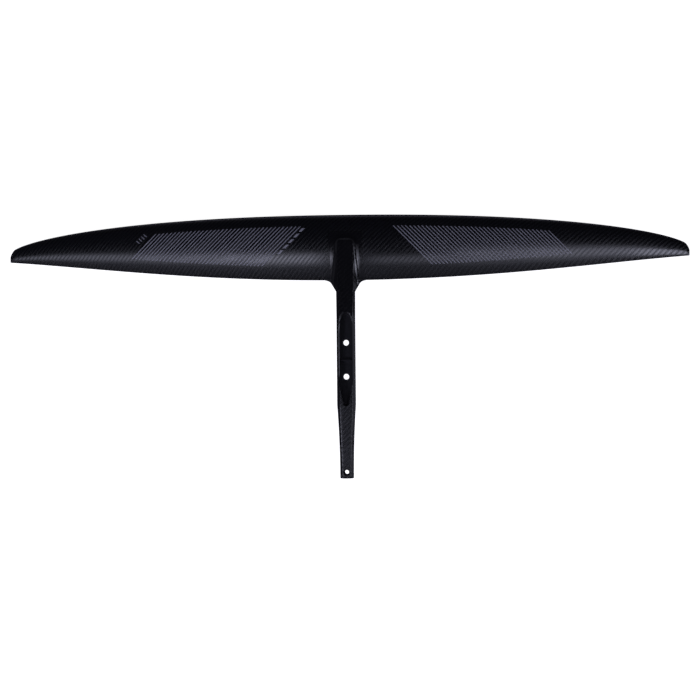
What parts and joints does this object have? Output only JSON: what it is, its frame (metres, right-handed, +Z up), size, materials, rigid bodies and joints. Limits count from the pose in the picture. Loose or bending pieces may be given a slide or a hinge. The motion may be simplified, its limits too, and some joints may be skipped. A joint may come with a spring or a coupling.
{
  "type": "hydrofoil front wing",
  "caption": "Slender carbon hydrofoil wing with a short fuselage tongue that has a pocket and screw holes for a mast foot.",
  "frame": {"origin": "midway between the two mast screws, on the floor of the mast pocket", "axes": "+X along the span, +Y forwards in the direction of travel, +Z up, out of the mast pocket"},
  "size_m": [1.016, 0.3879, 0.0573],
  "materials": {
    "carbon_skin": "satin",
    "carbon_laminate": "matte",
    "foam": "matte",
    "ferrule": "anodised",
    "silver_graphic": "satin"
  },
  "bodies": {
    "root": {"wing_upper_skin": "carbon_skin", "wing_lower_skin": "carbon_skin", "left_front_core": "foam", "right_front_core": "foam", "left_rear_core": "foam", "right_rear_core": "foam", "left_spar": "carbon_laminate", "right_spar": "carbon_laminate", "centre_block": "carbon_laminate", "fuselage_upper_shell": "carbon_skin", "fuselage_lower_shell": "carbon_skin", "mast_seat_block": "carbon_laminate", "fuselage_front_core": "foam", "fuselage_rear_core": "foam", "tail_block": "carbon_skin", "mast_screw_ferrules": "ferrule", "tail_screw_ferrule": "ferrule", "left_stripe_panel": "silver_graphic", "right_stripe_panel": "silver_graphic", "left_dash_mark": "silver_graphic", "left_tick_marks": "silver_graphic"}
  },
  "joints": []
}
